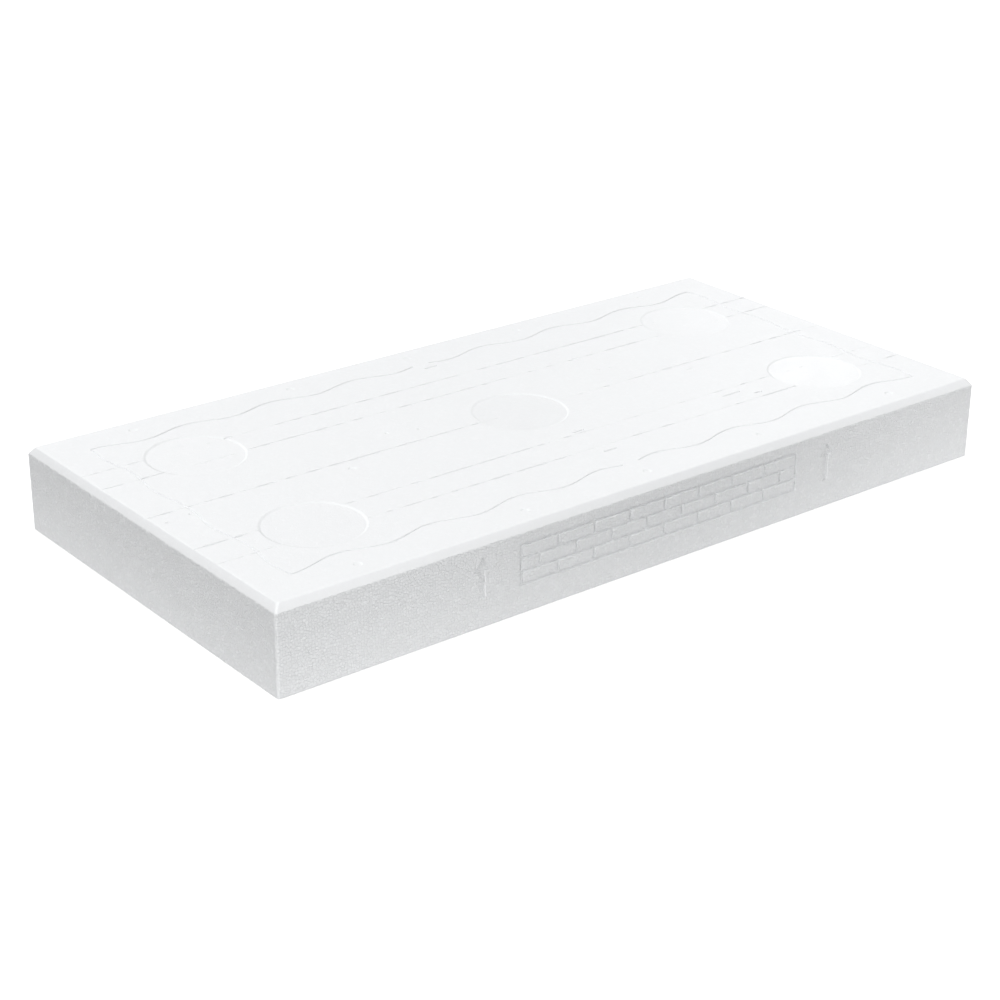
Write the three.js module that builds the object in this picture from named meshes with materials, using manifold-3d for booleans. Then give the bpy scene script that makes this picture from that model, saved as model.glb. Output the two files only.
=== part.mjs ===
// A moulded board of expanded polystyrene for insulating walls, in millimetres.
//
// The origin is at the centre of the underside. +X runs along the length, +Z is up, and -Y is the
// long side with the sunk marks. The top face has a bevelled rim, straight keying grooves, a wavy
// groove that runs round it like a frame, and five round seats for anchor plates.

import * as THREE from "three";
import { mergeVertices } from "three/addons/utils/BufferGeometryUtils.js";
import Module from "manifold-3d";

const wasm = await Module();
wasm.setup();

// The block
const boardLength = 1000;
const boardWidth = 500;
const boardThickness = 100;
const rimBevelRun = 6.5;
const rimBevelDrop = 8;
const footRounding = 2;
const uprightEdgeRounding = 3;

// Round seats for anchor plates: one in the middle and one towards each corner
const seatRadius = 56;
const seatDepth = 1;
const seatFromEnd = 135;
const seatFromSide = 135;

// Straight keying grooves: one along the middle, and a pair along each row of seats
const keyGrooveWidth = 3;
const keyGrooveDepth = 1.6;
const keyPairSpacing = 43;

// The wavy groove, broken at the middle of each long side
const waveGrooveWidth = 3;
const waveGrooveDepth = 1.6;
const waveFromSide = 57;
const waveFromEnd = 52;
const waveLength = 115.5;
const waveHeight = 6;
const waveFirstCrest = 39.5;
const waveBreak = 24;
const endWaveHeight = 3;
const endWaveCount = 3.5;
const waveStep = 12;

// Shallow round marks that the mould's pins leave
const pinMarkRadius = 4.5;
const pinMarkDepth = 0.8;
const pinRowFromSide = 30;
const pinInnerOffset = 171;
const pinFromEnd = 117;
const middlePinOffset = 250;
const middlePinRow = -20;

// Marks sunk into the long side at -Y: an arrow pointing up at each end of a strip of brickwork
const markDepth = 2.2;
const markMiddleHeight = 56;
const arrowOffset = 250;
const arrowHeight = 48;
const arrowHeadWidth = 24;
const arrowHeadHeight = 17;
const arrowShaftWidth = 9;
const brickHeight = 10;
const brickLength = 45;
const brickJoint = 5;
const brickCourses = 3;
const bricksInCourse = 8;

// How finely round shapes are drawn, and how far a cutter stands clear of the face that it cuts
const seatSides = 48;
const pinMarkSides = 12;
const roundingSteps = 4;
const cutterReach = 5;

const halfLength = boardLength / 2;
const halfWidth = boardWidth / 2;
const seatRow = halfWidth - seatFromSide;

// A closed geometry as a solid that can be joined and cut
function solidOf(geometry) {
  geometry.deleteAttribute("normal");
  geometry.deleteAttribute("uv");
  const merged = mergeVertices(geometry, 1e-4);
  return new wasm.Manifold(
    new wasm.Mesh({
      numProp: 3,
      vertProperties: merged.attributes.position.array,
      triVerts: new Uint32Array(merged.index.array),
    }),
  );
}

// A solid as a geometry
function geometryOf(solid) {
  const mesh = solid.getMesh();
  const geometry = new THREE.BufferGeometry();
  geometry.setAttribute("position", new THREE.BufferAttribute(mesh.vertProperties, 3));
  geometry.setIndex(new THREE.BufferAttribute(mesh.triVerts, 1));
  return geometry;
}

function join(solids) {
  return solids.reduce((joined, solid) => joined.add(solid));
}

function rectangle(width, height) {
  const shape = new THREE.Shape();
  shape.moveTo(-width / 2, -height / 2);
  shape.lineTo(width / 2, -height / 2);
  shape.lineTo(width / 2, height / 2);
  shape.lineTo(-width / 2, height / 2);
  shape.closePath();
  return shape;
}

function roundedRectangle(width, height, radius) {
  const shape = new THREE.Shape();
  const x = width / 2 - radius;
  const y = height / 2 - radius;
  shape.moveTo(x, -y - radius);
  shape.absarc(x, -y, radius, -Math.PI / 2, 0);
  shape.absarc(x, y, radius, 0, Math.PI / 2);
  shape.absarc(-x, y, radius, Math.PI / 2, Math.PI);
  shape.absarc(-x, -y, radius, Math.PI, 1.5 * Math.PI);
  return shape;
}

// The block: its outline with rounded upright edges, within a form that is bevelled at the top and
// one that is rounded at the bottom. Each form stands past the block at its other end.
function makeBlock() {
  const outline = new THREE.ExtrudeGeometry(
    roundedRectangle(boardLength, boardWidth, uprightEdgeRounding),
    { depth: boardThickness, bevelEnabled: false, curveSegments: roundingSteps },
  );
  const bevelled = new THREE.ExtrudeGeometry(rectangle(boardLength, boardWidth), {
    depth: boardThickness,
    bevelThickness: rimBevelDrop,
    bevelSize: rimBevelRun,
    bevelOffset: -rimBevelRun,
    bevelSegments: 1,
  });
  bevelled.translate(0, 0, -rimBevelDrop);
  const rounded = new THREE.ExtrudeGeometry(rectangle(boardLength, boardWidth), {
    depth: boardThickness,
    bevelThickness: footRounding,
    bevelSize: footRounding,
    bevelOffset: -footRounding,
    bevelSegments: roundingSteps,
  });
  rounded.translate(0, 0, footRounding);
  return solidOf(outline).intersect(solidOf(bevelled)).intersect(solidOf(rounded));
}

// A cutter of the given outline that sinks to a depth below the top face
function topCutter(shape, depth) {
  const geometry = new THREE.ExtrudeGeometry(shape, {
    depth: depth + cutterReach,
    bevelEnabled: false,
  });
  geometry.translate(0, 0, boardThickness - depth);
  return solidOf(geometry);
}

// A round cutter with its centre at x, y that sinks to a depth below the top face
function roundCutter(x, y, radius, depth, sides) {
  const height = depth + cutterReach;
  const geometry = new THREE.CylinderGeometry(radius, radius, height, sides);
  geometry.rotateX(Math.PI / 2);
  geometry.translate(x, y, boardThickness - depth + height / 2);
  return solidOf(geometry);
}

// The outline of a slot of even width whose middle follows the points
function slotOutline(points, width) {
  const near = [];
  const far = [];
  points.forEach((point, i) => {
    const before = points[Math.max(i - 1, 0)];
    const after = points[Math.min(i + 1, points.length - 1)];
    const along = after.clone().sub(before).normalize();
    const across = new THREE.Vector2(-along.y, along.x).multiplyScalar(width / 2);
    near.push(point.clone().sub(across));
    far.unshift(point.clone().add(across));
  });
  return new THREE.Shape([...near, ...far]);
}

function makeSeats() {
  const x = halfLength - seatFromEnd;
  const places = [[0, 0], [x, seatRow], [-x, seatRow], [x, -seatRow], [-x, -seatRow]];
  return places.map((place) => roundCutter(...place, seatRadius, seatDepth, seatSides));
}

function makeKeyGrooves() {
  const rows = [-seatRow, seatRow].flatMap((row) => [
    row - keyPairSpacing / 2,
    row + keyPairSpacing / 2,
  ]);
  return [0, ...rows].map((row) =>
    topCutter(rectangle(boardLength + 2 * cutterReach, keyGrooveWidth), keyGrooveDepth)
      .translate([0, row, 0]),
  );
}

// How far the wavy groove lies from the board's middle line, at a distance x from its middle
function waveRow(x) {
  const turn = (2 * Math.PI * (x - waveFirstCrest)) / waveLength;
  return halfWidth - waveFromSide - waveHeight * Math.cos(turn);
}

function makeWaveGrooves() {
  const frameEnd = halfLength - waveFromEnd;
  const corner = waveRow(frameEnd);
  const grooves = [];
  for (const end of [-1, 1]) {
    for (const side of [-1, 1]) {
      const from = waveBreak / 2;
      const steps = Math.ceil((frameEnd - from) / waveStep);
      const points = [];
      for (let i = 0; i <= steps; i++) {
        const x = from + ((frameEnd - from) * i) / steps;
        points.push(new THREE.Vector2(end * x, side * waveRow(x)));
      }
      grooves.push(topCutter(slotOutline(points, waveGrooveWidth), waveGrooveDepth));
    }
    const steps = Math.ceil((2 * corner) / waveStep);
    const points = [];
    for (let i = 0; i <= steps; i++) {
      const y = corner * ((2 * i) / steps - 1);
      const sway = endWaveHeight * Math.cos((Math.PI * endWaveCount * y) / corner);
      points.push(new THREE.Vector2(end * (frameEnd - sway), y));
    }
    grooves.push(topCutter(slotOutline(points, waveGrooveWidth), waveGrooveDepth));
  }
  return grooves;
}

function makePinMarks() {
  const row = halfWidth - pinRowFromSide;
  const outer = halfLength - pinFromEnd;
  const places = [[-middlePinOffset, middlePinRow], [middlePinOffset, middlePinRow]];
  for (const x of [-outer, -pinInnerOffset, 0, pinInnerOffset, outer]) {
    places.push([x, row], [x, -row]);
  }
  return places.map((place) => roundCutter(...place, pinMarkRadius, pinMarkDepth, pinMarkSides));
}

// A cutter drawn on the long side at -Y, with x along the board and y up from the marks' middle
function sideCutter(shape, x, y) {
  const geometry = new THREE.ExtrudeGeometry(shape, {
    depth: markDepth + cutterReach,
    bevelEnabled: false,
  });
  geometry.rotateX(Math.PI / 2);
  geometry.translate(x, -halfWidth + markDepth, markMiddleHeight + y);
  return solidOf(geometry);
}

function arrowOutline() {
  const top = arrowHeight / 2;
  const neck = top - arrowHeadHeight;
  const shape = new THREE.Shape();
  shape.moveTo(-arrowShaftWidth / 2, -top);
  shape.lineTo(arrowShaftWidth / 2, -top);
  shape.lineTo(arrowShaftWidth / 2, neck);
  shape.lineTo(arrowHeadWidth / 2, neck);
  shape.lineTo(0, top);
  shape.lineTo(-arrowHeadWidth / 2, neck);
  shape.lineTo(-arrowShaftWidth / 2, neck);
  shape.closePath();
  return shape;
}

// The joints of a strip of brickwork in running bond, with the bricks left standing between them
function brickworkCutters() {
  const pitch = brickLength + brickJoint;
  const rise = brickHeight + brickJoint;
  const width = bricksInCourse * pitch;
  const bed = rectangle(width + brickJoint, brickJoint);
  const upright = rectangle(brickJoint, rise);
  const bottom = (-brickCourses * rise) / 2;
  const cutters = [sideCutter(bed, 0, bottom)];
  for (let course = 0; course < brickCourses; course++) {
    const y = bottom + course * rise;
    const half = course % 2 ? pitch / 2 : 0;
    cutters.push(sideCutter(bed, 0, y + rise));
    const joints = [-width / 2, width / 2];
    for (let x = -width / 2 + pitch - half; x < width / 2; x += pitch) joints.push(x);
    cutters.push(...joints.map((x) => sideCutter(upright, x, y + rise / 2)));
  }
  return cutters;
}

function makeSideMarks() {
  const arrows = [-arrowOffset, arrowOffset].map((x) => sideCutter(arrowOutline(), x, 0));
  return [...arrows, ...brickworkCutters()];
}

const cuts = join([
  ...makeSeats(),
  ...makeKeyGrooves(),
  ...makeWaveGrooves(),
  ...makePinMarks(),
  ...makeSideMarks(),
]);

const foam = new THREE.MeshStandardMaterial({
  color: 0xf2f3f4,
  roughness: 0.85,
  metalness: 0,
  flatShading: true,
});

const epsBoard = new THREE.Mesh(geometryOf(makeBlock().subtract(cuts)), foam);
epsBoard.name = "eps_board";

const board = new THREE.Group();
board.add(epsBoard);

export default board;
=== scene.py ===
import math

import bmesh
import bpy
from bpy.props import FloatProperty, FloatVectorProperty, IntProperty, PointerProperty
from mathutils import Matrix, Quaternion, Vector, noise


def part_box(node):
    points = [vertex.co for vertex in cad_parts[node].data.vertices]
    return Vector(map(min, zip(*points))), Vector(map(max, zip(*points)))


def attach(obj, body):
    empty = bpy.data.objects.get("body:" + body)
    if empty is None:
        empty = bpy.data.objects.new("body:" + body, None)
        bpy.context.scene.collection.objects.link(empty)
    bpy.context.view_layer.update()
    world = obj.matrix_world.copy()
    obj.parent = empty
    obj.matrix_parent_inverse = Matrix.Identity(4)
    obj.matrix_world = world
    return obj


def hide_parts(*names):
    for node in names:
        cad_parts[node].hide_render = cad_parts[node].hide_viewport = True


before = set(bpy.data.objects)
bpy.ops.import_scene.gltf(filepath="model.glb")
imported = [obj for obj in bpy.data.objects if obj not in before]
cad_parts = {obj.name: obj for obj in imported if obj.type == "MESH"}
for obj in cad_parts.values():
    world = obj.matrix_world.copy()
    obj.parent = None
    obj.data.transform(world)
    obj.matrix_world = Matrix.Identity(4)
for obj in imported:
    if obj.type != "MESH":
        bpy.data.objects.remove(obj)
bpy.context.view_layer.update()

bl_info = {
    "name": "Foam Insulation Board",
    "version": (1, 0, 0),
    "blender": (4, 5, 0),
    "location": "3D View > Sidebar > Foam Board",
    "description": "A moulded foam wall board with keying grooves, anchor seats and sunk side marks",
    "category": "Object",
}

NODE = "eps_board"
BODY = "root"
MM = 0.001

BOARD_LOW, BOARD_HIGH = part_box(NODE)
BOARD_SIZE = BOARD_HIGH - BOARD_LOW
HALF_LENGTH = BOARD_SIZE.x / 2
HALF_WIDTH = BOARD_SIZE.y / 2
TOP = BOARD_HIGH.z

# Lengths below which points count as one, and cutting planes as through a point
TINY = 0.001 * MM
CUT_TOLERANCE = 0.0001 * MM


# Properties

def size_property(name, description, millimetres):
    return FloatProperty(
        name=name,
        description=description,
        default=millimetres * MM,
        subtype="DISTANCE",
        unit="LENGTH",
        precision=4,
    )


def colour_property(name, description, default):
    return FloatVectorProperty(
        name=name, description=description, default=default, size=3, subtype="COLOR", min=0, max=1
    )


def share_property(name, description, default):
    return FloatProperty(name=name, description=description, default=default, min=0, max=1)


def light_property(name, description, default):
    return FloatProperty(name=name, description=description, default=default, min=0)


class BoardSizes(bpy.types.PropertyGroup):
    """Sizes of the block and its edges"""

    rim_run: size_property("Rim run", "Width of the top rim's bevel, seen from above", 6.5)
    rim_drop: size_property("Rim drop", "Height of the top rim's bevel", 8)
    rim_softness: size_property("Rim softness", "Rounding of the bevel's two edges", 1.3)
    foot_rounding: size_property("Foot rounding", "Rounding of the bottom edges", 0.6)
    upright_rounding: size_property("Upright rounding", "Rounding of the upright edges", 3)


class TopRelief(bpy.types.PropertyGroup):
    """Sizes of what is moulded into the top face"""

    seat_radius: size_property("Seat radius", "Radius of the round anchor seats", 56)
    seat_depth: size_property("Seat depth", "Depth of the anchor seats", 1)
    seat_from_end: size_property("Seat from end", "From a short edge to a seat's centre", 135)
    seat_from_side: size_property("Seat from side", "From a long edge to a seat's centre", 135)
    groove_width: size_property("Groove width", "Width of the grooves", 3)
    groove_depth: size_property("Groove depth", "Depth of the grooves", 1.6)
    key_pair_spacing: size_property("Key spacing", "Between the grooves along a row of seats", 43)
    wave_from_side: size_property("Wave from side", "From a long edge to the wavy groove", 57)
    wave_from_end: size_property("Wave from end", "From a short edge to the wavy groove", 52)
    wave_length: size_property("Wave length", "From crest to crest of the wavy groove", 115.5)
    wave_height: size_property("Wave height", "Sway of the wavy groove along the length", 6)
    wave_first_crest: size_property("First crest", "From the middle to the first crest", 39.5)
    wave_break: size_property("Wave break", "Gap in the wavy groove at the middle", 24)
    end_wave_height: size_property("End wave height", "Sway of the groove along the ends", 3)
    pin_radius: size_property("Pin mark radius", "Radius of the mould's pin marks", 4.5)
    pin_depth: size_property("Pin mark depth", "Depth of the pin marks", 0.8)
    pin_from_side: size_property("Pin row", "From a long edge to a row of pin marks", 30)
    pin_from_end: size_property("Pin from end", "From a short edge to the outer pin marks", 117)
    pin_inner: size_property("Inner pins", "From the middle to the inner pin marks", 171)
    pin_middle: size_property("Middle pins", "From the middle to the middle row's marks", 250)
    pin_middle_row: size_property("Middle row", "How far the middle row lies off centre", -20)


class SideMarks(bpy.types.PropertyGroup):
    """Sizes of the marks sunk into the long side"""

    depth: size_property("Depth", "Depth of the marks", 2.0)
    middle_height: size_property("Height", "From the underside to the marks' middle", 56)
    arrow_offset: size_property("Arrow offset", "From the middle to each arrow", 250)
    arrow_height: size_property("Arrow height", "Height of the arrows", 48)
    head_width: size_property("Head width", "Width of the arrow's head", 24)
    head_height: size_property("Head height", "Height of the arrow's head", 17)
    shaft_width: size_property("Shaft width", "Width of the arrow's shaft", 9)
    brick_height: size_property("Brick height", "Height of a brick in the strip", 10)
    brick_length: size_property("Brick length", "Length of a brick in the strip", 45)
    joint: size_property("Joint", "Width of the joints between bricks", 5)
    courses: IntProperty(name="Courses", description="Courses of bricks", default=3, min=1)
    bricks: IntProperty(name="Bricks", description="Bricks in a full course", default=8, min=1)


class FoamFinish(bpy.types.PropertyGroup):
    """Colour and grain of the foam"""

    colour: colour_property("Foam", "Colour of the foam", (0.84, 0.85, 0.86))
    bead_size: size_property("Bead size", "Size of a bead at the surface", 3.4)
    top_mottling: share_property("Top mottling", "How much lighter a bead of the top can be", 0.012)
    side_mottling: share_property("Side mottling", "The same for a bead of the sides", 0.045)
    # Painted highlight: the share by which the foam's colour is lightened along the upright edges,
    # standing in for the light they catch
    painted_edge_highlight: share_property("Edge light", "How much lighter the dense upright edges are", 0.04)
    top_grain: size_property("Top grain", "How far the top's beads stand out", 0.04)
    side_grain: size_property("Side grain", "How far the sides' beads stand out", 0.28)
    top_swell: size_property("Top swell", "Slow unevenness of the top", 0.5)
    side_swell: size_property("Side swell", "Slow unevenness of the sides", 0.3)
    top_roughness: share_property("Top roughness", "Roughness of the top skin", 0.44)
    side_roughness: share_property("Side roughness", "Roughness of the sides", 0.62)
    seat_gloss: share_property("Seat gloss", "How much smoother the seats are", 0.1)


class StudioLook(bpy.types.PropertyGroup):
    """Floor and light"""

    floor_colour: colour_property("Floor", "Colour of the floor", (0.93, 0.93, 0.93))
    floor_glow: light_property("Floor glow", "How much the lit floor glows of itself", 0.3)
    overhead: light_property("Overhead", "Wide soft light straight from above", 2.1)
    back: light_property("Back", "Soft light from behind the board", 0.82)
    left: light_property("Left", "Soft light from the left, which draws the side marks", 1.12)
    front: light_property("Front", "Small panels before the ends of the long side", 1.9)
    table: light_property("Table", "Glow of the table round the board", 1.2)
    sheen: light_property("Sheen", "Panel that the top's far end mirrors", 10)
    room: light_property("Room", "Even light from all round", 0.16)


def settings(name):
    return getattr(bpy.context.scene, name)


# Shader nodes

BEAD_RANDOMNESS = 0.85
SEAM_WIDTH = 0.1
PROUD_FROM = 0.86
PIT_BELOW = 0.07
FINE_GRAIN = 1.3 * MM
TONE_WIDTH = 14 * MM
GLOSS_WIDTH = 30 * MM
SWELL_WIDTH = 60 * MM
GLOSS_RANGE = 0.16
PRESSED_DEPTHS = (0.5 * MM, 0.9 * MM)
# Reach and core of the painted highlight along the upright edges
HIGHLIGHT_REACH = 3.4 * MM
HIGHLIGHT_CORE = 2 * MM
FOAM_IOR = 1.45


class Socket:
    """A number that a shader node gives, on which Python arithmetic adds Math nodes."""

    def __init__(self, nodes, socket):
        self.nodes = nodes
        self.socket = socket

    def maths(self, operation, first, second):
        return self.nodes.add("ShaderNodeMath", {"operation": operation}, {0: first, 1: second})

    def __add__(self, other):
        return self.maths("ADD", self, other)

    def __radd__(self, other):
        return self.maths("ADD", other, self)

    def __sub__(self, other):
        return self.maths("SUBTRACT", self, other)

    def __rsub__(self, other):
        return self.maths("SUBTRACT", other, self)

    def __mul__(self, other):
        return self.maths("MULTIPLY", self, other)

    def __rmul__(self, other):
        return self.maths("MULTIPLY", other, self)

    def __pow__(self, other):
        return self.maths("POWER", self, other)


class Nodes:
    """The nodes of one material or world."""

    def __init__(self, tree):
        self.tree = tree
        tree.nodes.clear()

    def add(self, kind, settings, inputs, output=0):
        """Adds a node with its settings and its sockets' values or links, and gives one output."""
        node = self.tree.nodes.new(kind)
        for name, value in settings.items():
            setattr(node, name, value)
        for key, value in inputs.items():
            if isinstance(value, Socket):
                self.tree.links.new(value.socket, node.inputs[key])
            else:
                node.inputs[key].default_value = value
        return Socket(self, node.outputs[output]) if node.outputs else None

    def ramp(self, value, low, high):
        """0 below low, 1 above high, and smooth between them."""
        return self.add(
            "ShaderNodeMapRange",
            {"interpolation_type": "SMOOTHSTEP"},
            {"Value": value, "From Min": low, "From Max": high},
        )

    def size(self, value):
        """The value without its sign."""
        return self.add("ShaderNodeMath", {"operation": "ABSOLUTE"}, {0: value})

    def colour_mix(self, factor, first, second):
        return self.add(
            "ShaderNodeMix",
            {"data_type": "RGBA"},
            {"Factor": factor, 6: first, 7: second},
            output=2,
        )


def new_material(name):
    material = bpy.data.materials.new(name)
    material.use_nodes = True
    return material, Nodes(material.node_tree)


def shade(colour, share):
    return (*[channel * share for channel in colour], 1)


def foam_material(name, finish, mottling, grain, swell, roughness, pressed_gloss):
    """Fused beads under a moulded skin: domed beads and the seams between them, a few that stand
    proud, a few open pits, and a slow swell. The seams and the pits are also painted a little darker,
    as painted shade.
    What is pressed below the top face is glossier, and the upright edges are painted lighter, as a
    painted highlight."""
    material, nodes = new_material(name)
    place = nodes.add("ShaderNodeTexCoord", {}, {}, output="Object")

    def beads(feature, output, size):
        return nodes.add(
            "ShaderNodeTexVoronoi",
            {"feature": feature},
            {"Vector": place, "Scale": 1 / size, "Randomness": BEAD_RANDOMNESS},
            output=output,
        )

    def cloud(size):
        return nodes.add("ShaderNodeTexNoise", {}, {"Vector": place, "Scale": 1 / size})

    def along(axis):
        return nodes.add("ShaderNodeSeparateXYZ", {}, {"Vector": place}, output=axis)

    seam = nodes.ramp(beads("DISTANCE_TO_EDGE", "Distance", finish.bead_size), 0.0, SEAM_WIDTH)
    dome = beads("F1", "Distance", finish.bead_size) ** 2.0
    cell = beads("F1", "Color", finish.bead_size)
    tone = nodes.add("ShaderNodeSeparateColor", {}, {"Color": cell}, output="Red")
    chance = nodes.add("ShaderNodeSeparateColor", {}, {"Color": cell}, output="Green")
    proud = nodes.ramp(chance, PROUD_FROM, PROUD_FROM + 0.04)
    pit = nodes.ramp(dome, 0.05, 0.02) * nodes.ramp(chance, PIT_BELOW, PIT_BELOW - 0.02)
    height = (
        seam * grain
        - dome * (grain * 1.3)
        + tone * (grain * 0.5)
        + proud * (grain * 0.9)
        - pit * (grain * 2)
        + cloud(FINE_GRAIN) * (grain * 0.5)
        + cloud(SWELL_WIDTH) * swell
    )
    bump = nodes.add(
        "ShaderNodeBump", {}, {"Height": height, "Distance": 1.0, "Strength": 1.0}, output="Normal"
    )
    # The seams lower the lightness, painted shade in the crevices between beads; tone and cloud are
    # the beads' own random tone
    lightness = tone * 0.45 + seam * 0.2 + cloud(TONE_WIDTH) * 0.35
    body = nodes.colour_mix(
        lightness, shade(finish.colour, 1 - mottling), shade(finish.colour, 1 + mottling)
    )
    speckled = nodes.colour_mix(proud * 0.6, body, shade(finish.colour, 1 + 2 * mottling))
    # Painted shade: the open pits are painted darker, standing in for the shade inside them
    pit_painted_shade = nodes.colour_mix(pit * (12 * mottling), speckled, shade(finish.colour, 0.8))
    pressed = nodes.ramp(TOP - along("Z"), *PRESSED_DEPTHS)
    from_end = HALF_LENGTH - nodes.size(along("X"))
    from_side = HALF_WIDTH - nodes.size(along("Y"))
    # Painted highlight: the colour is made lighter along the upright edges
    edge = nodes.ramp(from_end + from_side, HIGHLIGHT_REACH, HIGHLIGHT_CORE)
    colour = nodes.colour_mix(edge, pit_painted_shade, shade(finish.colour, 1 + finish.painted_edge_highlight))
    shader = nodes.add(
        "ShaderNodeBsdfPrincipled",
        {},
        {
            "Base Color": colour,
            "Roughness": roughness + GLOSS_RANGE * cloud(GLOSS_WIDTH) - pressed_gloss * pressed,
            "Normal": bump,
            "IOR": FOAM_IOR,
        },
    )
    nodes.add("ShaderNodeOutputMaterial", {}, {"Surface": shader})
    return material


# Mesh tools

UPRIGHT_STEPS = 5
FOOT_STEPS = 4
RIM_STEPS = 3


def new_piece(name, bm):
    """Makes an object of a finished bmesh, with its normals turned outwards."""
    bmesh.ops.recalc_face_normals(bm, faces=bm.faces)
    mesh = bpy.data.meshes.new(name)
    bm.to_mesh(mesh)
    bm.free()
    piece = bpy.data.objects.new(name, mesh)
    bpy.context.scene.collection.objects.link(piece)
    return piece


def round_edges(bm, edges, offset, segments):
    bmesh.ops.bevel(
        bm,
        geom=edges,
        offset=offset,
        offset_type="OFFSET",
        affect="EDGES",
        segments=segments,
        profile=0.5,
        material=-1,
        clamp_overlap=False,
    )


def edges_at_height(bm, height):
    return [e for e in bm.edges if all(abs(v.co.z - height) < TINY for v in e.verts)]


def roughen(bm, amount, grain):
    """Moves each vertex a little, as the beads at an edge do."""
    for vert in bm.verts:
        vert.co += amount * noise.noise_vector(vert.co / grain)


def block(sizes):
    """The block with its rounded upright edges, bevelled rim and rounded foot."""
    bm = bmesh.new()
    bmesh.ops.create_cube(bm, size=1)
    bmesh.ops.scale(bm, vec=BOARD_SIZE, verts=bm.verts)
    bmesh.ops.translate(bm, vec=(BOARD_LOW + BOARD_HIGH) / 2, verts=bm.verts)
    uprights = [e for e in bm.edges if abs(e.verts[0].co.z - e.verts[1].co.z) > TINY]
    round_edges(bm, uprights, sizes.upright_rounding, UPRIGHT_STEPS)
    shoulder = TOP - sizes.rim_drop
    bmesh.ops.bisect_plane(
        bm,
        geom=[*bm.verts, *bm.edges, *bm.faces],
        dist=CUT_TOLERANCE,
        plane_co=(0, 0, shoulder),
        plane_no=(0, 0, 1),
    )
    upper = [v for v in bm.verts if v.co.z > TOP - TINY]
    shrink = (1 - sizes.rim_run / HALF_LENGTH, 1 - sizes.rim_run / HALF_WIDTH, 1)
    bmesh.ops.scale(bm, vec=shrink, verts=upper)
    round_edges(bm, edges_at_height(bm, BOARD_LOW.z), sizes.foot_rounding, FOOT_STEPS)
    round_edges(bm, edges_at_height(bm, shoulder), sizes.rim_softness, RIM_STEPS)
    round_edges(bm, edges_at_height(bm, TOP), sizes.rim_softness, RIM_STEPS)
    return bm


def sweep(profile, stations):
    """A closed form: the profile, points across and up, carried through the stations."""
    bm = bmesh.new()
    ring = [bm.verts.new(stations[0] @ Vector((0, across, up))) for across, up in profile]
    edges = [bm.edges.new(pair) for pair in zip(ring, ring[1:] + ring[:1])]
    for before, after in zip(stations, stations[1:]):
        made = bmesh.ops.extrude_edge_only(bm, edges=edges)["geom"]
        fresh = [g for g in made if isinstance(g, bmesh.types.BMVert)]
        drawn = [g for g in made if isinstance(g, bmesh.types.BMEdge)]
        edges = [edge for edge in drawn if all(vert in fresh for vert in edge.verts)]
        bmesh.ops.transform(bm, matrix=after @ before.inverted(), verts=fresh)
    bmesh.ops.holes_fill(bm, edges=bm.edges)
    return bm


def lathe(profile, steps, centre):
    """A closed form: the profile, points out and up, turned about the centre's upright axis."""
    bm = bmesh.new()
    points = [bm.verts.new((out, 0, up)) for out, up in profile]
    edges = [bm.edges.new(pair) for pair in zip(points, points[1:])]
    bmesh.ops.spin(
        bm,
        geom=[*points, *edges],
        cent=(0, 0, 0),
        axis=(0, 0, 1),
        angle=2 * math.pi,
        steps=steps,
        use_merge=True,
    )
    bmesh.ops.remove_doubles(bm, verts=bm.verts, dist=TINY)
    bmesh.ops.translate(bm, vec=centre, verts=bm.verts)
    return bm


def joined(forms):
    """One bmesh of several that don't touch."""
    whole = bmesh.new()
    for form in forms:
        mesh = bpy.data.meshes.new("form")
        form.to_mesh(mesh)
        form.free()
        whole.from_mesh(mesh)
        bpy.data.meshes.remove(mesh)
    return whole


# Cutters for the top face

CUTTER_REACH = 3 * MM
GROOVE_SECTION = (
    (-0.85, 0.02),
    (-0.62, -0.07),
    (-0.5, -0.3),
    (-0.38, -0.75),
    (-0.2, -1.0),
    (0.2, -1.0),
    (0.38, -0.75),
    (0.5, -0.3),
    (0.62, -0.07),
    (0.85, 0.02),
    (0.85, 2.0),
    (-0.85, 2.0),
)
GROOVE_STEP = 3.5 * MM
END_WAVES = 3.5
EDGE_GRAIN = 3.5 * MM
EDGE_ROUGHNESS = 0.12 * MM
EDGE_SEED = 7
SEAT_STEPS = 128
PIN_STEPS = 24
SPOT_STEPS = 12
SPOT_RADIUS = 2.2 * MM
SCORE_DEPTH = 0.8
RECESS_SOFTNESS = 2.4 * MM

# Widths over which a groove's depth varies
BEAD_CHANGE = 9 * MM
DASH_CHANGE = 14 * MM
SLOW_CHANGE = 60 * MM
LONG_CHANGE = 130 * MM


def even_depth(point):
    """Share of the full depth that a groove has at a point, as the beads vary it."""
    beads = noise.noise(point / BEAD_CHANGE)
    return 0.75 + 0.2 * beads + 0.2 * noise.noise(point / SLOW_CHANGE)


def broken_depth(point):
    """The same for a groove that the mould has pressed only here and there."""
    dashes = 1.5 * noise.noise(point / DASH_CHANGE) + 0.8 * noise.noise(point / LONG_CHANGE)
    return min(max(0.4 + dashes, 0.12), 0.9)


def groove(points, relief, depth_share):
    """A cutter along the points, which grows shallower and deeper."""
    profile = [
        (across * relief.groove_width, up * relief.groove_depth) for across, up in GROOVE_SECTION
    ]
    stations = []
    for i, point in enumerate(points):
        along = points[min(i + 1, len(points) - 1)] - points[max(i - 1, 0)]
        swell = depth_share(point)
        stations.append(
            Matrix.Translation(point)
            @ Matrix.Rotation(math.atan2(along.y, along.x), 4, "Z")
            @ Matrix.Diagonal((1, swell, swell, 1))
        )
    form = sweep(profile, stations)
    roughen(form, EDGE_ROUGHNESS, EDGE_GRAIN)
    return form


def line_points(start, end):
    """Points a step apart from start to end."""
    count = math.ceil((end - start).length / GROOVE_STEP)
    return [start.lerp(end, i / count) for i in range(count + 1)]


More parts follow.
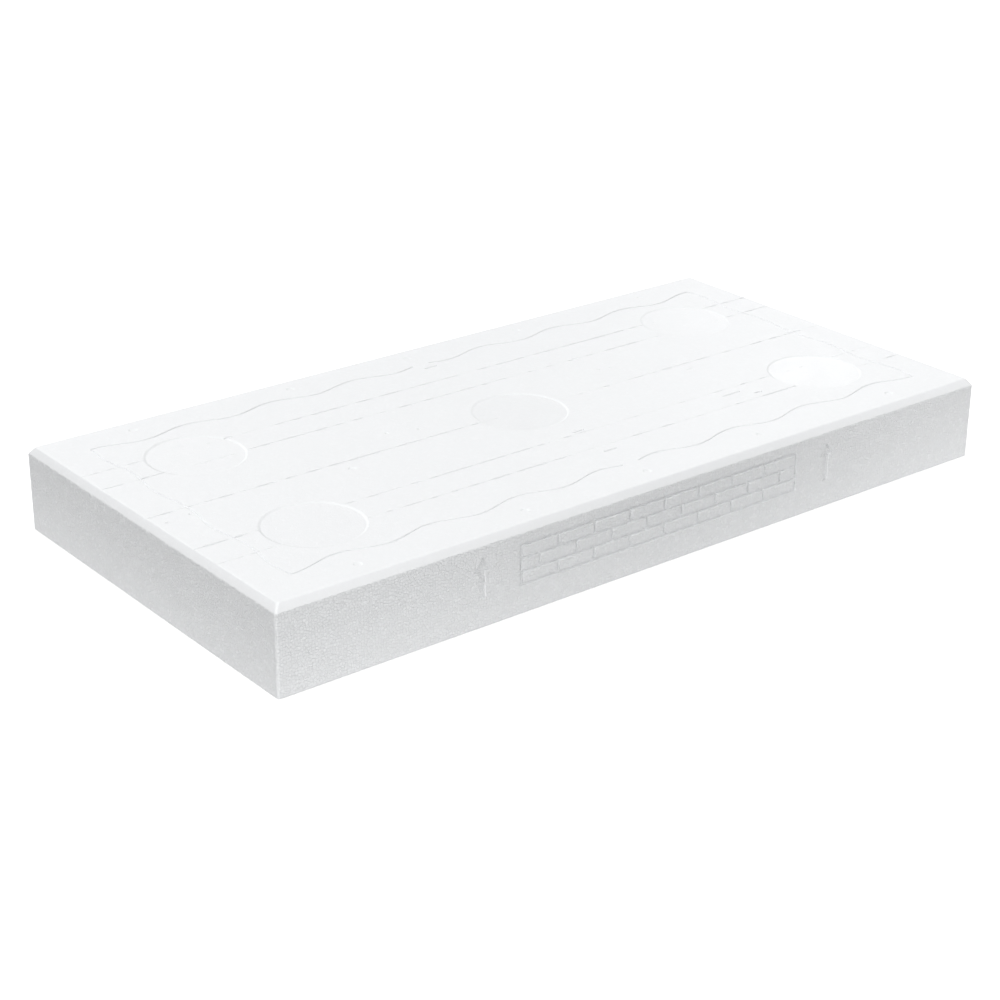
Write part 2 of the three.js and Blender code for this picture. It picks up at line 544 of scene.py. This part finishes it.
def seat_row(relief):
    return HALF_WIDTH - relief.seat_from_side


def key_grooves(relief):
    reach = HALF_LENGTH + CUTTER_REACH
    half = relief.key_pair_spacing / 2
    row = seat_row(relief)
    rows = [0, row - half, row + half, half - row, -half - row]
    lines = [line_points(Vector((-reach, y, TOP)), Vector((reach, y, TOP))) for y in rows]
    return joined(groove(line, relief, broken_depth) for line in lines)


def wave_row(relief, x):
    turn = 2 * math.pi * (x - relief.wave_first_crest) / relief.wave_length
    return HALF_WIDTH - relief.wave_from_side - relief.wave_height * math.cos(turn)


def long_waves(relief):
    start = relief.wave_break / 2
    end = HALF_LENGTH - relief.wave_from_end
    forms = []
    for along in (-1, 1):
        for side in (-1, 1):
            line = line_points(Vector((start, 0, TOP)), Vector((end, 0, TOP)))
            points = [Vector((along * p.x, side * wave_row(relief, p.x), TOP)) for p in line]
            forms.append(groove(points, relief, even_depth))
    return joined(forms)


def end_waves(relief):
    end = HALF_LENGTH - relief.wave_from_end
    corner = wave_row(relief, end)
    forms = []
    for along in (-1, 1):
        line = line_points(Vector((0, -corner, TOP)), Vector((0, corner, TOP)))
        points = []
        for p in line:
            sway = relief.end_wave_height * math.cos(math.pi * END_WAVES * p.y / corner)
            points.append(Vector((along * (end - sway), p.y, TOP)))
        forms.append(groove(points, relief, even_depth))
    return joined(forms)


def dish(radius, depth, steps, centre):
    """A cutter for a shallow round recess with soft edges."""
    soft = min(RECESS_SOFTNESS, radius / 3)
    profile = (
        (0, -depth),
        (radius - soft, -depth),
        (radius - 0.6 * soft, -0.92 * depth),
        (radius - 0.15 * soft, -0.5 * depth),
        (radius + 0.25 * soft, -0.1 * depth),
        (radius + 0.7 * soft, 0.02 * depth),
        (radius + 0.7 * soft, CUTTER_REACH),
        (0, CUTTER_REACH),
    )
    form = lathe(profile, steps, centre)
    roughen(form, EDGE_ROUGHNESS, EDGE_GRAIN)
    return form


def seats(relief):
    x = HALF_LENGTH - relief.seat_from_end
    y = seat_row(relief)
    places = [(0, 0), (x, y), (-x, y), (x, -y), (-x, -y)]
    return joined(
        dish(relief.seat_radius, relief.seat_depth, SEAT_STEPS, Vector((*place, TOP)))
        for place in places
    )


def pin_marks(relief):
    row = HALF_WIDTH - relief.pin_from_side
    outer = HALF_LENGTH - relief.pin_from_end
    places = [(-relief.pin_middle, relief.pin_middle_row), (relief.pin_middle, relief.pin_middle_row)]
    for x in (-outer, -relief.pin_inner, 0, relief.pin_inner, outer):
        places += [(x, row), (x, -row)]
    return joined(
        dish(relief.pin_radius, relief.pin_depth, PIN_STEPS, Vector((*place, TOP)))
        for place in places
    )


# Places in millimetres: x, y and length of a score, and x and y of a spot
SHORT_SCORES = ((232, -109, 28), (7, -151, 18), (5, 178, 18), (14, -88, 16), (262, -124, 12))
SPOTS = ((-161, 39), (-125, 27), (161, 47), (178, 45), (-481, -21), (-451, -17), (0, -22))


def scores(relief):
    """Short scores that the mould leaves here and there beside the grooves."""
    forms = []
    for x, y, length in SHORT_SCORES:
        start = Vector((x - length / 2, y, 0)) * MM + Vector((0, 0, TOP))
        end = start + Vector((length * MM, 0, 0))
        forms.append(groove(line_points(start, end), relief, lambda _: SCORE_DEPTH))
    for x, y in SPOTS:
        centre = Vector((x * MM, y * MM, TOP))
        forms.append(dish(SPOT_RADIUS, relief.pin_depth, SPOT_STEPS, centre))
    return joined(forms)


# Cutters for the marks on the long side

MARK_CLEARANCE = 0.3 * MM

# A mark's soft wall from its edge inwards: how far in, and the share of the depth gained there
MARK_WALL = ((0.4 * MM, 0.12), (0.45 * MM, 0.36), (0.45 * MM, 0.36), (0.4 * MM, 0.16))


def sunk_form(bm, marks):
    """Gives a flat outline, drawn just outside the long side, soft walls down to the marks' depth."""
    front = list(bm.faces)
    grown = bmesh.ops.extrude_face_region(bm, geom=front, use_keep_orig=True)["geom"]
    back = [g for g in grown if isinstance(g, bmesh.types.BMVert)]
    bmesh.ops.translate(bm, vec=(0, -CUTTER_REACH, 0), verts=back)
    bmesh.ops.recalc_face_normals(bm, faces=bm.faces)
    steps = [(0.1 * MM, MARK_CLEARANCE)]
    steps += [(inset, share * marks.depth) for inset, share in MARK_WALL]
    for inset, depth in steps:
        bm.normal_update()
        bmesh.ops.inset_region(
            bm,
            faces=front,
            thickness=inset,
            depth=depth,
            use_boundary=True,
            use_even_offset=True,
        )
    return bm


def mark_frame(marks):
    """From a drawing with x along the board and y up to the place just outside the long side."""
    place = Matrix.Translation((0, -HALF_WIDTH - MARK_CLEARANCE, marks.middle_height))
    return place @ Matrix.Rotation(math.pi / 2, 4, "X")


def arrow(marks, x):
    top = marks.arrow_height / 2
    neck = top - marks.head_height
    shaft = marks.shaft_width / 2
    head = marks.head_width / 2
    outline = (
        (-shaft, -top), (shaft, -top), (shaft, neck), (head, neck),
        (0, top), (-head, neck), (-shaft, neck),
    )
    bm = bmesh.new()
    bm.faces.new([bm.verts.new((x + across, up, 0)) for across, up in outline])
    bmesh.ops.transform(bm, matrix=mark_frame(marks), verts=bm.verts)
    return sunk_form(bm, marks)


def arrows(marks):
    return joined([arrow(marks, -marks.arrow_offset), arrow(marks, marks.arrow_offset)])


def cut_across(bm, faces, place, normal):
    """Cuts the given faces along a line through place, in an order that never changes."""
    geom = list(dict.fromkeys(g for f in faces for g in (*f.verts, *f.edges, f)))
    bmesh.ops.bisect_plane(bm, geom=geom, dist=CUT_TOLERANCE, plane_co=place, plane_no=normal)


def faces_at(bm, height, reach):
    """The drawing's faces whose middles lie at a height, give or take the reach."""
    return [f for f in bm.faces if abs(f.calc_center_median().y - height) < reach]


def brickwork(marks):
    """The joints of a strip of bricks in running bond, as one network of faces."""
    pitch = marks.brick_length + marks.joint
    rise = marks.brick_height + marks.joint
    half_width = (marks.bricks * pitch + marks.joint) / 2
    half_height = (marks.courses * rise + marks.joint) / 2
    bm = bmesh.new()
    corners = ((-1, -1), (1, -1), (1, 1), (-1, 1))
    bm.faces.new([bm.verts.new((x * half_width, y * half_height, 0)) for x, y in corners])
    for course in range(marks.courses):
        low = -half_height + marks.joint + course * rise
        for height in (low, low + marks.brick_height):
            cut_across(bm, bm.faces, (0, height, 0), (0, 1, 0))
    gone = []
    for course in range(marks.courses):
        middle = -half_height + marks.joint + course * rise + marks.brick_height / 2
        shift = pitch / 2 if course % 2 else 0
        starts = [-half_width + marks.joint - shift + n * pitch for n in range(marks.bricks + 1)]
        ends = [start + marks.brick_length for start in starts]
        for x in (*starts, *ends, -half_width + marks.joint, half_width - marks.joint):
            if abs(x) < half_width - TINY:
                cut_across(bm, faces_at(bm, middle, rise / 4), (x, 0, 0), (1, 0, 0))
        for face in faces_at(bm, middle, rise / 4):
            x = face.calc_center_median().x
            inside = any(start < x < end for start, end in zip(starts, ends))
            if inside and abs(x) < half_width - marks.joint:
                gone.append(face)
    bmesh.ops.delete(bm, geom=gone, context="FACES")
    bmesh.ops.transform(bm, matrix=mark_frame(marks), verts=bm.verts)
    return sunk_form(bm, marks)


# The board

LEAST_LEFT = 0.995
SHARP_ANGLE = math.radians(50)
FLAT_WEIGHT = 90


def volume(mesh):
    bm = bmesh.new()
    bm.from_mesh(mesh)
    amount = bm.calc_volume(signed=True)
    bm.free()
    return amount


def cut(piece, cutters):
    """Takes the cutters away from the piece and keeps the result as its mesh."""
    tools = bpy.data.collections.new("cutters")
    for cutter in cutters:
        tools.objects.link(cutter)
    modifier = piece.modifiers.new("cut", "BOOLEAN")
    modifier.operation = "DIFFERENCE"
    modifier.solver = "EXACT"
    modifier.operand_type = "COLLECTION"
    modifier.collection = tools
    graph = bpy.context.evaluated_depsgraph_get()
    mesh = bpy.data.meshes.new_from_object(piece.evaluated_get(graph))
    piece.modifiers.clear()
    rough = piece.data
    if not LEAST_LEFT < volume(mesh) / volume(rough) < 1:
        raise RuntimeError("The grooves and marks could not be cut")
    piece.data = mesh
    bpy.data.meshes.remove(rough)
    for cutter in cutters:
        spent = cutter.data
        bpy.data.objects.remove(cutter)
        bpy.data.meshes.remove(spent)
    bpy.data.collections.remove(tools)


def finish_shading(piece):
    """Smooth shading that leaves the large faces flat."""
    mesh = piece.data
    mesh.polygons.foreach_set("use_smooth", [True] * len(mesh.polygons))
    mesh.set_sharp_from_angle(angle=SHARP_ANGLE)
    weighted = piece.modifiers.new("weighted_normals", "WEIGHTED_NORMAL")
    weighted.keep_sharp = True
    weighted.weight = FLAT_WEIGHT


def split_materials(piece, top_skin, side_skin):
    """The top face, its rim and what is sunk into it get the smoother skin."""
    shoulder = TOP - settings("foam_sizes").rim_drop
    piece.data.materials.clear()
    piece.data.materials.append(side_skin)
    piece.data.materials.append(top_skin)
    for face in piece.data.polygons:
        face.material_index = 1 if face.center.z > shoulder else 0


class OBJECT_OT_foam_board(bpy.types.Operator):
    """Makes the board with its grooves, seats and side marks"""

    bl_idname = "object.foam_board"
    bl_label = "Foam Board"

    def execute(self, context):
        relief = settings("foam_relief")
        marks = settings("foam_marks")
        finish = settings("foam_finish")
        noise.seed_set(EDGE_SEED)
        board = new_piece("foam_board", block(settings("foam_sizes")))
        cutters = {
            "seats": seats(relief),
            "pin_marks": pin_marks(relief),
            "key_grooves": key_grooves(relief),
            "long_waves": long_waves(relief),
            "end_waves": end_waves(relief),
            "scores": scores(relief),
            "arrows": arrows(marks),
            "brickwork": brickwork(marks),
        }
        cut(board, [new_piece(name, form) for name, form in cutters.items()])
        split_materials(
            board,
            foam_material(
                "foam_top",
                finish,
                finish.top_mottling,
                finish.top_grain,
                finish.top_swell,
                finish.top_roughness,
                finish.seat_gloss,
            ),
            foam_material(
                "foam_side",
                finish,
                finish.side_mottling,
                finish.side_grain,
                finish.side_swell,
                finish.side_roughness,
                0,
            ),
        )
        finish_shading(board)
        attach(board, BODY)
        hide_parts(NODE)
        return {"FINISHED"}


# The stage

PHOTO_AZIMUTH = math.radians(-38.647)
PHOTO_ELEVATION = math.radians(23.961)
PHOTO_ROLL = math.radians(0.441)
PHOTO_DISTANCE = 2.4527
PHOTO_TARGET = Vector((-0.1054, -0.0962, 0.05))
PHOTO_LENS = 79.819
SENSOR_WIDTH = 36
CLIP_END = 100
FLOOR_RADIUS = 30
FLOOR_GAP = 0.2 * MM
FLOOR_ROUGHNESS = 0.9
FLOOR_SHINE = 0.2
TABLE_SIZE = (1.24, 0.74)


def direction(azimuth, elevation):
    return Vector(
        (
            math.sin(azimuth) * math.cos(elevation),
            -math.cos(azimuth) * math.cos(elevation),
            math.sin(elevation),
        )
    )


def add_camera():
    camera = bpy.data.objects.new("camera", bpy.data.cameras.new("camera"))
    bpy.context.scene.collection.objects.link(camera)
    back = direction(PHOTO_AZIMUTH, PHOTO_ELEVATION)
    camera.data.sensor_width = SENSOR_WIDTH
    camera.data.lens = PHOTO_LENS
    camera.data.clip_end = CLIP_END
    camera.location = PHOTO_TARGET + PHOTO_DISTANCE * back
    camera.rotation_mode = "QUATERNION"
    roll = Quaternion((0, 0, 1), PHOTO_ROLL)
    camera.rotation_quaternion = (-back).to_track_quat("-Z", "Y") @ roll
    bpy.context.scene.camera = camera


def add_floor(look):
    bm = bmesh.new()
    bmesh.ops.create_circle(bm, cap_ends=True, segments=96, radius=FLOOR_RADIUS)
    bmesh.ops.translate(bm, vec=(0, 0, BOARD_LOW.z - FLOOR_GAP), verts=bm.verts)
    floor = new_piece("floor", bm)
    material, nodes = new_material("floor")
    shader = nodes.add(
        "ShaderNodeBsdfPrincipled",
        {},
        {
            "Base Color": (*look.floor_colour, 1),
            "Roughness": FLOOR_ROUGHNESS,
            "Specular IOR Level": FLOOR_SHINE,
            "Emission Color": (1, 1, 1, 1),
            "Emission Strength": look.floor_glow,
        },
    )
    nodes.add("ShaderNodeOutputMaterial", {}, {"Surface": shader})
    floor.data.materials.append(material)
    floor.visible_diffuse = False


def add_sun(name, towards, strength, angle):
    """An even light that comes from a direction, softer the wider its angle."""
    light = bpy.data.lights.new(name, "SUN")
    light.energy = strength
    light.angle = math.radians(angle)
    lamp = bpy.data.objects.new(name, light)
    lamp.rotation_mode = "QUATERNION"
    lamp.rotation_quaternion = Vector(towards).to_track_quat("Z", "Y")
    bpy.context.scene.collection.objects.link(lamp)


def add_panel(name, place, aim, width, height, strength):
    """A soft panel light at a place, turned to a point."""
    light = bpy.data.lights.new(name, "AREA")
    light.shape = "RECTANGLE"
    light.size = width
    light.size_y = height
    light.energy = strength
    lamp = bpy.data.objects.new(name, light)
    lamp.location = place
    lamp.rotation_mode = "QUATERNION"
    lamp.rotation_quaternion = (Vector(place) - Vector(aim)).to_track_quat("Z", "Y")
    bpy.context.scene.collection.objects.link(lamp)


def add_background(look):
    """A white background, which lights the board only as much as the room does."""
    world = bpy.data.worlds.new("background")
    bpy.context.scene.world = world
    world.use_nodes = True
    nodes = Nodes(world.node_tree)
    seen = nodes.add("ShaderNodeLightPath", {}, {}, output="Is Camera Ray")
    dark = nodes.add("ShaderNodeBackground", {}, {"Color": (1, 1, 1, 1), "Strength": look.room})
    white = nodes.add("ShaderNodeBackground", {}, {"Color": (1, 1, 1, 1), "Strength": 1})
    both = nodes.add("ShaderNodeMixShader", {}, {0: seen, 1: dark, 2: white})
    nodes.add("ShaderNodeOutputWorld", {}, {"Surface": both})


class SCENE_OT_foam_studio(bpy.types.Operator):
    """Makes the floor, the soft light and the camera"""

    bl_idname = "scene.foam_studio"
    bl_label = "Foam Studio"

    def execute(self, context):
        look = settings("foam_studio")
        add_camera()
        add_floor(look)
        add_background(look)
        add_sun("overhead", (0, 0.02, 1), look.overhead, 80)
        add_sun("back", (0.12, 0.9, 0.42), look.back, 50)
        add_sun("left", (-0.92, -0.2, 0.34), look.left, 36)
        add_panel("front_left", (-0.55, -0.95, 0.12), (-0.45, -0.25, 0.03), 0.3, 0.2, look.front)
        add_panel("front_right", (0.6, -0.95, 0.12), (0.5, -0.25, 0.03), 0.3, 0.2, look.front)
        add_panel("table", (0, 0, -FLOOR_GAP / 2), (0, 0, 1), *TABLE_SIZE, look.table)
        add_panel("sheen", (2.95, 2.2, 1.33), (0.35, -0.05, 0.1), 0.9, 0.7, look.sheen)
        context.scene.view_settings.view_transform = "Standard"
        return {"FINISHED"}


# The add-on

class VIEW3D_PT_foam_board(bpy.types.Panel):
    """The board's sizes, colours and stage"""

    bl_label = "Foam Board"
    bl_space_type = "VIEW_3D"
    bl_region_type = "UI"
    bl_category = "Foam Board"

    def draw(self, context):
        for name in GROUPS:
            box = self.layout.box()
            box.label(text=name.replace("_", " ").title())
            group = getattr(context.scene, name)
            for key in group.__annotations__:
                box.prop(group, key)
        for operator in (OBJECT_OT_foam_board, SCENE_OT_foam_studio):
            self.layout.operator(operator.bl_idname)


GROUPS = {
    "foam_sizes": BoardSizes,
    "foam_relief": TopRelief,
    "foam_marks": SideMarks,
    "foam_finish": FoamFinish,
    "foam_studio": StudioLook,
}
CLASSES = (*GROUPS.values(), OBJECT_OT_foam_board, SCENE_OT_foam_studio, VIEW3D_PT_foam_board)


def register():
    for cls in CLASSES:
        bpy.utils.register_class(cls)
    for name, group in GROUPS.items():
        setattr(bpy.types.Scene, name, PointerProperty(type=group))


def unregister():
    for name in GROUPS:
        delattr(bpy.types.Scene, name)
    for cls in reversed(CLASSES):
        bpy.utils.unregister_class(cls)


def main():
    register()
    bpy.ops.object.foam_board()
    bpy.ops.scene.foam_studio()


if __name__ == "__main__":
    main()
